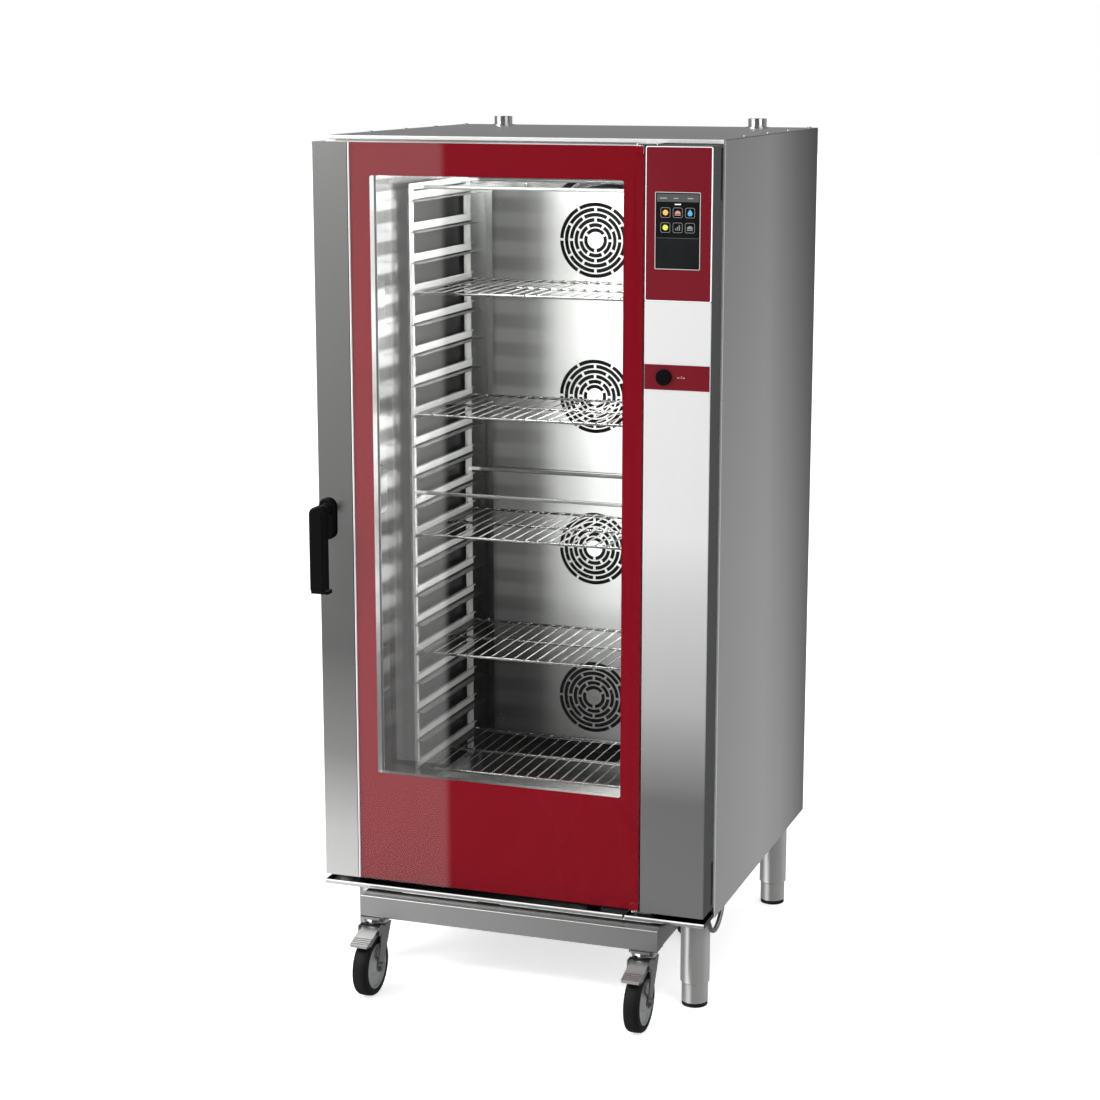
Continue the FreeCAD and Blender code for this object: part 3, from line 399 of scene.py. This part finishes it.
MATERIALS = {
    "side": brushed("side panel steel", (0.60, 0.61, 0.60), 0.42, "Z", 0.02, SIDE_SHADES,
                    metallic=0.85),
    "panel_z": brushed("panel steel, upright grain", (0.42, 0.425, 0.42), 0.36, "Z"),
    "panel_x": brushed("panel steel, level grain", (0.46, 0.465, 0.46), 0.34, "X"),
    "top": brushed("top cover steel", (0.245, 0.25, 0.245), 0.4, "Y", 0.02, TOP_SHADES),
    # The rain lip's pale colour is a painted highlight.
    "lip": brushed("rain lip steel with painted highlight", (0.62, 0.62, 0.61), 0.35, "X", 0.02, metallic=0.3),
    "strip": brushed("door strip steel", (0.365, 0.365, 0.36), 0.34, "Z", 0.02, STRIP_SHADES),
    "jamb": brushed("door frame steel", (0.66, 0.66, 0.655), 0.32, "Z", 0.03, JAMB_SHADES),
    "cover": brushed("column cover steel", (0.76, 0.76, 0.76), 0.36, "Z", 0.015, COVER_SHADES,
                     metallic=0.35),
    "channel": brushed("drip channel steel", (0.60, 0.60, 0.60), 0.3, "X", 0.02,
                       CHANNEL_SHADES),
    "cavity": brushed("cavity steel", (0.60, 0.60, 0.595), 0.24, "Z", 0.03, LINER_SHADES,
                      bands=WALL_REFLECTION_BANDS),
    "lamp": brushed("frosted lamp lens", (0.50, 0.51, 0.50), 0.34, "Z", 0.02, LINER_SHADES,
                    metallic=0.9, bands=WALL_REFLECTION_BANDS),
    # The air guides are near black as painted shade behind the rack.
    "air": brushed("air guide steel with painted shade", (0.030, 0.033, 0.031), 0.30, "Z"),
    "baffle": brushed("baffle steel", (0.58, 0.58, 0.575), 0.30, "Z", 0.02, BAFFLE_SHADES,
                      metallic=0.5, bands=BAFFLE_REFLECTION_BANDS),
    # The grille hubs' near-white colour is a painted highlight.
    "hub": brushed("grille hub steel", (0.97, 0.97, 0.96), 0.3, "Z", 0.01, HUB_SHADES,
                   metallic=0.3),
    "fan": brushed("fan wheel steel", (0.02, 0.02, 0.02), 0.5, "Z"),
    "element": brushed("heater tube", (0.02, 0.02, 0.02), 0.5, "Z"),
    "rack": brushed("rack steel", (0.70, 0.70, 0.69), 0.24, "Y", 0.03, RACK_SHADES,
                    metallic=0.6),
    "runner": brushed("runner steel", (0.72, 0.72, 0.71), 0.24, "Y", 0.03, RUNNER_SHADES,
                      metallic=0.6, ledges=RUNNER_LEDGE_SHADE),
    "wire": brushed("shelf wire", (0.36, 0.36, 0.355), 0.14, "Y"),
    "pan": brushed("drip pan steel", (0.66, 0.66, 0.65), 0.24, "X", 0.03, PAN_SHADES,
                   metallic=0.7),
    "bright": brushed("polished steel", (0.82, 0.82, 0.81), 0.14, "X"),
    "legs": brushed("leg steel", (0.58, 0.58, 0.575), 0.30, "Z", 0.02, metallic=0.70),
    "foot": brushed("foot steel", (0.46, 0.46, 0.455), 0.32, "Z", 0.02, metallic=0.6),
    "trolley": brushed("trolley steel", (0.34, 0.345, 0.34), 0.34, "X", 0.02),
    "zinc": brushed("zinc-plated steel", (0.34, 0.345, 0.34), 0.36, "Z", 0.06),
    "wool": plastic("mineral wool", (0.60, 0.56, 0.42), 0.95, grain=300.0, relief=0.9),
    "motor": plastic("cast motor", (0.05, 0.05, 0.05), 0.55),
    "seal": plastic("seal rubber", (0.008, 0.008, 0.008), 0.6),
    "housing": plastic("dark grey paint", (0.040, 0.043, 0.041), 0.5),
    "black": plastic("black plastic", (0.0015, 0.0015, 0.0016), 0.42, relief=0.15, shine=0.07),
    "tyre": plastic("tyre rubber", (0.0045, 0.0047, 0.0047), 0.6, shine=0.18),
    "disc": plastic("grey wheel plastic", (0.20, 0.205, 0.205), 0.45),
    "board": plastic("circuit board", (0.02, 0.16, 0.06), 0.5),
    # Near black for the painted shadow in the gaps beside the column.
    "slit": plastic("painted gap shadow", (0.004, 0.004, 0.004), 0.6),
    "screen": plastic("screen face", (0.004, 0.0045, 0.005), 0.15, relief=0.02),
    "header": plastic("screen header", (0.055, 0.057, 0.057), 0.3, relief=0.02),
    "panel_dark": plastic("screen lower field", (0.006, 0.007, 0.0075), 0.2, relief=0.02),
    "line": plastic("screen line", (0.35, 0.33, 0.32), 0.35, relief=0.02),
    "amber": plastic("amber sign", (0.62, 0.33, 0.07), 0.35, relief=0.02),
    "rose": plastic("rose sign", (0.42, 0.19, 0.15), 0.35, relief=0.02),
    "blue": plastic("blue sign", (0.07, 0.28, 0.52), 0.35, relief=0.02),
    "lime": plastic("lime sign", (0.50, 0.54, 0.06), 0.35, relief=0.02),
    "grey_sign": plastic("grey sign", (0.16, 0.16, 0.16), 0.35, relief=0.02),
    # White for the title sign, and a painted highlight on the glass edges and rolled lips.
    "white_sign": plastic("white sign and painted highlight", (0.75, 0.75, 0.75), 0.35, relief=0.02),
    "red": enamel("red enamel behind glass", (0.145, 0.0014, 0.0062), 0.06, PRINT_SHADES),
    "control_red": enamel("red control glass", (0.114, 0.0022, 0.0082), 0.28),
    "glass": clear_glass("door glass", (0.985, 0.99, 0.985), 1.1),
}

NODE_MATERIALS = {
    "side": ["side_panels"],
    "panel_z": ["back_panel", "front_frame"],
    "panel_x": ["base_frame", "cover_screws"],
    "top": ["top_cover"],
    "strip": ["door_side_strip"],
    "jamb": ["door_frame"],
    "cover": ["column_cover"],
    "channel": ["door_drip_channel", "column_drip_channel"],
    "cavity": ["cavity_liner"],
    "lamp": ["lamp_covers"],
    "air": ["side_air_panels"],
    "baffle": ["fan_baffles"],
    "fan": ["fan_wheel_" + str(n) for n in FANS],
    "element": ["heating_elements"],
    "rack": ["rack_frame"],
    "runner": ["rack_runners"],
    "wire": ["wire_grids"],
    "pan": ["drip_pan"],
    "bright": ["vent_stubs", "hinge_brackets", "rear_connections", "latch_spindle",
               "steam_pipe"],
    "legs": ["leg_tubes"],
    "foot": ["foot_" + corner for corner in CORNERS],
    "trolley": ["trolley_frame", "trolley_deck"],
    "zinc": ["caster_fork_" + corner for corner in CORNERS]
            + ["brake_pedal_front_left", "brake_pedal_front_right"],
    "tyre": ["caster_wheel_" + corner for corner in CORNERS],
    "wool": ["cavity_insulation"],
    "motor": ["fan_motors"],
    "seal": ["door_gasket"],
    "housing": ["column_housing"],
    "black": ["handle_base", "handle_lever", "usb_cap"],
    "board": ["control_board"],
    "screen": ["touch_screen"],
    "red": ["door_print"],
    "control_red": ["control_glass"],
    "glass": ["door_glass", "door_inner_glass"],
}


def paint(obj, key):
    """Give a piece one material."""
    obj.data.materials.clear()
    obj.data.materials.append(MATERIALS[key])


for key, names in NODE_MATERIALS.items():
    for name in names:
        paint(NODES[name], key)
for name in NODE_MATERIALS["black"]:
    NODES[name].visible_glossy = False


# ------------------------------------------------------- tools for fine pieces

def free_name(name):
    """The name with underscores, numbered when it is already taken."""
    plain = name.replace(" ", "_")
    taken = len([o for o in bpy.data.objects if o.name.startswith(plain)])
    return plain if not taken else plain + "_" + str(taken + 1)


def new_piece(name, vertices, faces, key, body, smooth=False):
    """Mesh object in the row frame, painted, that moves with a body."""
    name = free_name(name)
    mesh = bpy.data.meshes.new(name)
    mesh.from_pydata([tuple(v) for v in vertices], [], faces)
    mesh.validate()
    for polygon in mesh.polygons:
        polygon.use_smooth = smooth
    obj = bpy.data.objects.new(name, mesh)
    bpy.context.collection.objects.link(obj)
    paint(obj, key)
    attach(obj, body)
    return obj


def bevelled(obj, width):
    """Round the edges of a piece a little."""
    modifier = obj.modifiers.new("rounding", "BEVEL")
    modifier.width = width * MM
    modifier.segments = 3
    modifier.limit_method = "ANGLE"


def bridge(row, other_row, k, following):
    """Face between two neighbouring points of one row and the same two of another."""
    return row + k, row + following, other_row + following, other_row + k


def prism(name, outline, y_front, y_back, key, body):
    """Flat plate that faces the front, with an outline of (x, z) millimetres."""
    count = len(outline)
    front = [at(x, y_front, z) for x, z in outline]
    back = [at(x, y_back, z) for x, z in outline]
    faces = [tuple(range(count)), tuple(reversed(range(count, 2 * count)))]
    for k in range(count):
        other = (k + 1) % count
        faces.append((other, k, k + count, other + count))
    return new_piece(name, front + back, faces, key, body)


def arc(x, z, radius, start=0.0, end=360.0, steps=28):
    """Points of an arc or a whole circle round (x, z), in millimetres."""
    whole = abs(end - start) >= 360
    last = steps if whole else steps + 1
    turns = [math.radians(start + (end - start) * k / steps) for k in range(last)]
    return [(x + radius * math.cos(t), z + radius * math.sin(t)) for t in turns]


def rounded_outline(x0, x1, z0, z1, radius):
    """Outline of a rectangle with round corners, in millimetres."""
    corners = ((x1 - radius, z1 - radius, 0), (x0 + radius, z1 - radius, 90),
               (x0 + radius, z0 + radius, 180), (x1 - radius, z0 + radius, 270))
    points = []
    for x, z, turn in corners:
        points += arc(x, z, radius, turn, turn + 90, 5)
    return points


def ring_plate(name, outer, inner, y_front, y_back, key, body):
    """Flat ring between two outlines with the same number of points."""
    count = len(outer)
    rows = ((outer, y_front), (inner, y_front), (inner, y_back), (outer, y_back))
    vertices = [at(x, y, z) for outline, y in rows for x, z in outline]
    faces = []
    for k in range(count):
        for row in range(len(rows)):
            next_row = (row + 1) % len(rows)
            faces.append(bridge(row * count, next_row * count, k, (k + 1) % count))
    return new_piece(name, vertices, faces, key, body)


def lathe(name, profile, centre, axis, key, body):
    """Solid of revolution; the profile is (along the axis, radius) in millimetres."""
    steps = 72
    crosswise = [n for n in range(3) if n != axis]
    vertices = []
    for k in range(steps):
        turn = 2 * math.pi * k / steps
        for along, radius in profile:
            point = Vector(centre)
            point[axis] += along * MM
            point[crosswise[0]] += radius * math.cos(turn) * MM
            point[crosswise[1]] += radius * math.sin(turn) * MM
            vertices.append(point)
    count = len(profile)
    faces = []
    for k in range(steps):
        start, following = k * count, ((k + 1) % steps) * count
        for row in range(count):
            faces.append(bridge(start, following, row, (row + 1) % count))
    obj = new_piece(name, vertices, faces, key, body, smooth=True)
    split = obj.modifiers.new("crisp edges", "EDGE_SPLIT")
    split.split_angle = math.radians(35)
    return obj


def bent_pipe(name, x, bends, radius, key, body):
    """Pipe at one x through bends of (y, z) millimetres."""
    sides = 20
    vertices = []
    for k, (y, z) in enumerate(bends):
        before, after = bends[max(0, k - 1)], bends[min(len(bends) - 1, k + 1)]
        along = Vector((0, after[0] - before[0], after[1] - before[1])).normalized()
        outward = Vector((0, -along.z, along.y))
        for n in range(sides):
            turn = 2 * math.pi * n / sides
            spot = at(x, y, z)
            spot += outward * (radius * MM * math.cos(turn))
            spot.x += radius * MM * math.sin(turn)
            vertices.append(spot)
    faces = [tuple(range(sides))[::-1],
             tuple(range(len(vertices) - sides, len(vertices)))]
    for k in range(len(bends) - 1):
        for n in range(sides):
            faces.append(bridge(k * sides, (k + 1) * sides, n, (n + 1) % sides))
    pipe = new_piece(name, vertices, faces, key, body, smooth=True)
    smoother = pipe.modifiers.new("bends", "SUBSURF")
    smoother.levels = smoother.render_levels = 2


# ---------------------------------------------------------------- fine pieces

def touch_display():
    """Generic display: header, six signs in frames and a lower field."""
    margin = 3
    mark_step = 27
    face = SCREEN_FACE
    (x0, _, z0), (x1, _, z1) = in_mm(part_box("touch_screen"))
    x0, x1, z0, z1 = x0 + margin, x1 - margin, z0 + margin, z1 - margin
    middle = (x0 + x1) / 2

    def field(name, left, right, low, high, radius, lift, key, back=face):
        """Flat rectangle on the screen, lifted off its face a little."""
        prism(name, rounded_outline(left, right, low, high, radius), face - lift, back, key,
              "oven")

    field("display header", x0, x1, z1 - 15, z1, 1.0, 0.12, "header")
    for k, width in enumerate((14, 9, 11)):
        x = x0 + 6 + k * mark_step
        field("header mark", x, x + width, z1 - 9, z1 - 7.6, 0.5, 0.2, "line", face - 0.1)
    field("display title", middle - 6, middle + 6, z1 - 20.5, z1 - 18.5, 0.6, 0.15,
          "white_sign")
    field("lower field", x0, x1, z0, z0 + 54, 1.0, 0.1, "panel_dark")
    field("field line", x0, x1, z0 + 55, z0 + 56, 0.3, 0.15, "header")
    framed_signs(middle, z1 - 35.0)


def framed_signs(middle, top_row):
    """Two rows of three framed signs on the screen."""
    column_step, row_step = 24.0, 28.0
    signs = (("amber", "disc"), ("rose", "half"), ("blue", "drop"),
             ("lime", "disc"), ("grey_sign", "bars"), ("grey_sign", "half"))
    for k, (key, shape) in enumerate(signs):
        x = middle + (k % 3 - 1) * column_step
        z = top_row - (k // 3) * row_step
        ring_plate("sign frame", rounded_outline(x - 9.5, x + 9.5, z - 9.5, z + 9.5, 3.5),
                   rounded_outline(x - 8.7, x + 8.7, z - 8.7, z + 8.7, 2.9),
                   SCREEN_FACE - 0.18, SCREEN_FACE, "grey_sign", "oven")
        for outline in sign_outlines(x, z, shape):
            prism("sign", outline, SCREEN_FACE - 0.2, SCREEN_FACE, key, "oven")


def sign_outlines(x, z, shape):
    """Outlines of one simple sign: disc, half disc, drop or bars."""
    if shape == "disc":
        return [arc(x, z, 5.2)]
    if shape == "half":
        return [arc(x, z - 2, 5.8, 0, 180),
                rounded_outline(x - 5.8, x + 5.8, z - 5, z - 3.2, 0.6)]
    if shape == "drop":
        return [arc(x, z - 1.4, 4.6, -225, 45) + [(x, z + 6.5)]]
    bars = []
    for n in (-1, 0, 1):
        middle = x + n * 3.6
        tall = 7 + 3.2 * n
        bars.append(rounded_outline(middle - 1, middle + 1, z - 5, z - 5 + tall, 0.5))
    return bars


def port_sign():
    """Small generic sign beside the USB plug: three dots and a bar."""
    face = GLASS_FACE - 0.8
    back = face + 0.05
    left, right, level = 754, 766, 1308
    for x, z, radius in ((left, level, 1.2), (right, level, 1.2), (761, level + 2.6, 0.8)):
        prism("port sign dot", arc(x, z, radius), face - 0.15, back, "line", "oven")
    prism("port sign bar", rounded_outline(left, right, level - 0.3, level + 0.3, 0.2),
          face - 0.12, back, "line", "oven")


def grille_hubs():
    """Slightly domed centres of the four fan grilles, near white for a painted highlight."""
    dome = [(0.2, 0.5), (-1.4, 0.5), (-1.1, 9), (-0.4, 16), (0.2, 18)]
    behind_front = 3.0 * MM
    for n in FANS:
        low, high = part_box("fan_wheel_" + str(n))
        centre = (low + high) / 2
        centre.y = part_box("fan_baffles")[0].y + behind_front
        lathe("grille hub " + str(n), dome, centre, 1, "hub", "oven")


def hinge_caps():
    """Thin red caps over the two hinge blocks in the corners of the door glass."""
    near, far = 0.7, 14.5
    for z0, z1 in ((DOOR_TOP - far, DOOR_TOP - near), (DOOR_BOTTOM + near, DOOR_BOTTOM + far)):
        prism("hinge cap", rounded_outline(664.6, 682.3, z0, z1, 1.0), GLASS_FACE - 0.35,
              GLASS_FACE - 0.02, "red", "door")


def column_slits():
    """Painted shadow in the gaps between the column and the side panel, at its top and bottom:
    thin near-black plates.
    """
    side = in_mm(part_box("column_housing"))[1][0]
    for z0, z1 in ((1640, 1738), (240, 330)):
        slit = prism("column slit", rounded_outline(side, side + 0.5, z0, z1, 0.2), -16, -4,
                     "slit", "oven")
        bevelled(slit, 0.1)


def rain_lip():
    """Rolled edge along the front of the top cover, pale for a painted highlight."""
    (left, face, _), (right, _, top) = in_mm(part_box("top_cover"))
    lip = prism("rain lip", rounded_outline(left, right, top - 7.5, top + 0.3, 1.5),
                face - 0.4, face + 2.5, "lip", "oven")
    bevelled(lip, 1.2)


def drain_spout():
    """Bent pipe from the right end of the drip channel back to the cabinet's floor."""
    right_end = 808.5
    radius = 5.0
    bends = [(-8, 214), (8, 184), (36, 164), (68, 166), (98, 186), (112, 214)]
    bent_pipe("drain spout", right_end, bends, radius, "trolley", "oven")


def bright_border(name, x0, x1, z0, z1, radii, faces, key):
    """Thin line round a rectangle, with its outer and inner corner radii."""
    width = 1.4
    outer = rounded_outline(x0 - width, x1 + width, z0 - width, z1 + width, radii[0])
    inner = rounded_outline(x0, x1, z0, z1, radii[1])
    ring_plate(name, outer, inner, *faces, key, "oven")


def edge_lines():
    """Glass edges beside the door strip and round the control glass, white for a painted
    highlight, and a bezel round the screen.
    """
    outline = rounded_outline(76.0, 77.6, DOOR_BOTTOM + 0.6, DOOR_TOP - 0.6, 0.4)
    edge = prism("door glass edge", outline, GLASS_FACE - 0.5, GLASS_FACE + 4.5, "white_sign",
                 "door")
    bevelled(edge, 0.3)
    bright_border("control glass edge", 688.0, 815.2, 1454.0, 1740.2, (3.2, 2.4),
                  (GLASS_FACE - 0.35, GLASS_FACE + 4), "white_sign")
    bright_border("screen bezel", 707.0, 793.0, 1514.0, 1656.0, (2.2, 1.6),
                  (GLASS_FACE - 1.15, GLASS_FACE), "line")


def castor_wheels():
    """Crowned tyre on a dished grey disc, and the swivel ring above it, for each castor."""
    tyre = [(-16, 47), (-16, 55), (-14.5, 59.5), (-11, 61.8), (-5, 62.5), (5, 62.5),
            (11, 61.8), (14.5, 59.5), (16, 55), (16, 47)]
    disc = [(-15, 47.2), (-15, 44.5), (-11, 42), (-9, 34), (-9, 20), (-14, 16), (-18.5, 14),
            (-18.5, 6.2), (18.5, 6.2), (18.5, 14), (14, 16), (9, 20), (9, 34), (11, 42),
            (15, 44.5), (15, 47.2)]
    ring = [(-7, 15), (-7, 25.5), (-5.5, 26.5), (1.5, 26.5), (3, 25.5), (3, 15)]
    trail = 35 * MM
    under_crown = 8 * MM
    for corner in CORNERS:
        node, body = "caster_wheel_" + corner, "wheel_" + corner
        low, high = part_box(node)
        centre = (low + high) / 2
        piece = lathe("tyre " + corner, tyre, centre, 0, "tyre", body)
        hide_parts(node)
        lathe("disc " + corner, disc, centre, 0, "disc", body)
        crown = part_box("caster_fork_" + corner)[1].z
        kingpin = Vector((centre.x, centre.y + trail, crown - under_crown))
        lathe("swivel ring " + corner, ring, kingpin, 2, "bright", "trolley")


def channel_lips():
    """Rolled lips along the front of the drip channel, white for a painted highlight."""
    for node, body in (("door_drip_channel", "door"), ("column_drip_channel", "oven")):
        (left, face, _), (right, _, _) = in_mm(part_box(node))
        lip = prism("rolled lip", rounded_outline(left, right, 218.5, 221.6, 1.4),
                    face - 0.6, face + 2.2, "white_sign", body)
        bevelled(lip, 1.0)


def foot_pads():
    """Dark rims under the four feet."""
    rim = [(0, 4), (0, 25.6), (1.2, 26.6), (7.5, 26.6), (9, 26.2), (9, 4)]
    for corner in CORNERS:
        low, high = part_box("foot_" + corner)
        centre = Vector(((low.x + high.x) / 2, (low.y + high.y) / 2, 0))
        lathe("foot pad " + corner, rim, centre, 2, "seal", "levelling_foot_" + corner)


touch_display()
port_sign()
grille_hubs()
hinge_caps()
column_slits()
rain_lip()
drain_spout()
edge_lines()
castor_wheels()
channel_lips()
foot_pads()


# ------------------------------------------------------------- studio, camera

CAMERA_PLACE = (2037, -4441, 1920)
CAMERA_LENS = 78.9
CAMERA_DOWN = 11.75
CAMERA_LEFT = 19.43
LEFT_WALL_ANGLE = 21.85
LEFT_WALL_LIGHT = 1.65
SKY_LIGHT = 0.7
DIM_FRONT = 0.06
DIM_BACK = 0.30


def camera():
    """Unshifted camera at the front right that looks left and down at the oven."""
    data = bpy.data.cameras.new("camera")
    data.lens = CAMERA_LENS
    data.sensor_width = 36
    obj = bpy.data.objects.new("camera", data)
    bpy.context.collection.objects.link(obj)
    obj.location = at(*CAMERA_PLACE)
    obj.rotation_euler = (math.radians(90 - CAMERA_DOWN), 0, math.radians(CAMERA_LEFT))
    bpy.context.scene.camera = obj


def area_light(name, place, target, size, power):
    """Soft rectangular lamp that faces a point; size is its width and height in metres."""
    data = bpy.data.lights.new(name, "AREA")
    data.shape = "RECTANGLE"
    data.size, data.size_y = size
    data.energy = power
    obj = bpy.data.objects.new(name, data)
    bpy.context.collection.objects.link(obj)
    obj.location = at(*place)
    direction = at(*target) - at(*place)
    obj.rotation_euler = direction.to_track_quat("-Z", "Y").to_euler()
    return obj


def floor():
    """Plain pale floor, left out of mirror reflections."""
    half = 40
    mesh = bpy.data.meshes.new("floor")
    mesh.from_pydata([(-half, -half, 0), (half, -half, 0), (half, half, 0), (-half, half, 0)],
                     [], [(0, 1, 2, 3)])
    obj = bpy.data.objects.new("floor", mesh)
    bpy.context.collection.objects.link(obj)
    mat, shader = new_material("pale floor", (0.80, 0.80, 0.80), 0.0, 0.8)
    shader.inputs["Emission Color"].default_value = WHITE
    shader.inputs["Emission Strength"].default_value = 0.6
    mesh.materials.append(mat)
    obj.visible_glossy = False


def studio_light(studio):
    """Brightness that reflections see: a bright left wall, a pale sky and dim sides."""
    def step(value, low, high, start, end):
        """Smooth step from one brightness to another."""
        return spread(studio, value, low, high, start, end, step="SMOOTHSTEP")

    def times(first, second):
        """Product of two values."""
        return maths(studio, "MULTIPLY", first, second)

    x, y, z = own_axes(studio, "Generated")
    leftness = maths(studio, "ARCTAN2", times(x, -1.0), times(y, -1.0))
    edge = math.radians(LEFT_WALL_ANGLE)
    wall = step(leftness, 0.0, LEFT_WALL_LIGHT, edge, edge + 0.004)
    wall_end = step(leftness, 1.0, 0.25, math.radians(50), math.radians(75))
    front = step(y, 1.0, 0.0, -0.35, 0.05)
    sky = step(z, 0.0, SKY_LIGHT, 0.15, 0.8)
    base = step(y, DIM_FRONT, DIM_BACK, -0.3, 0.6)
    lit = times(times(wall, wall_end), front)
    return maths(studio, "ADD", maths(studio, "ADD", base, sky), lit)


def world():
    """White to the eye and to diffuse light, and a studio to reflections."""
    studio = bpy.data.worlds.new("studio")
    bpy.context.scene.world = studio
    studio.use_nodes = True
    path = add_node(studio, "ShaderNodeLightPath")
    plain = maths(studio, "MAXIMUM", path.outputs["Is Camera Ray"],
                  path.outputs["Is Diffuse Ray"])
    mirrored = maths(studio, "SUBTRACT", 1.0, plain)
    reflected = maths(studio, "MULTIPLY", mirrored, studio_light(studio))
    background = studio.node_tree.nodes["Background"]
    background.inputs["Color"].default_value = WHITE
    link(studio, maths(studio, "ADD", reflected, plain), background.inputs["Strength"])


camera()
world()
floor()
area_light("key", (-1900, -2600, 3000), (410, 0, 1100), (1.6, 1.6), 90)
area_light("fill", (3600, -1500, 2200), (820, 300, 900), (2.5, 2.5), 25)
area_light("cavity top", (388, 60, 1682), (388, 300, 900), (0.45, 0.08), 5)
jamb_lamp = area_light("cavity jamb", (666, 45, 1040), (260, 350, 1040), (0.06, 1.2), 16)
jamb_lamp.visible_camera = False
bpy.context.scene.view_settings.view_transform = "Standard"
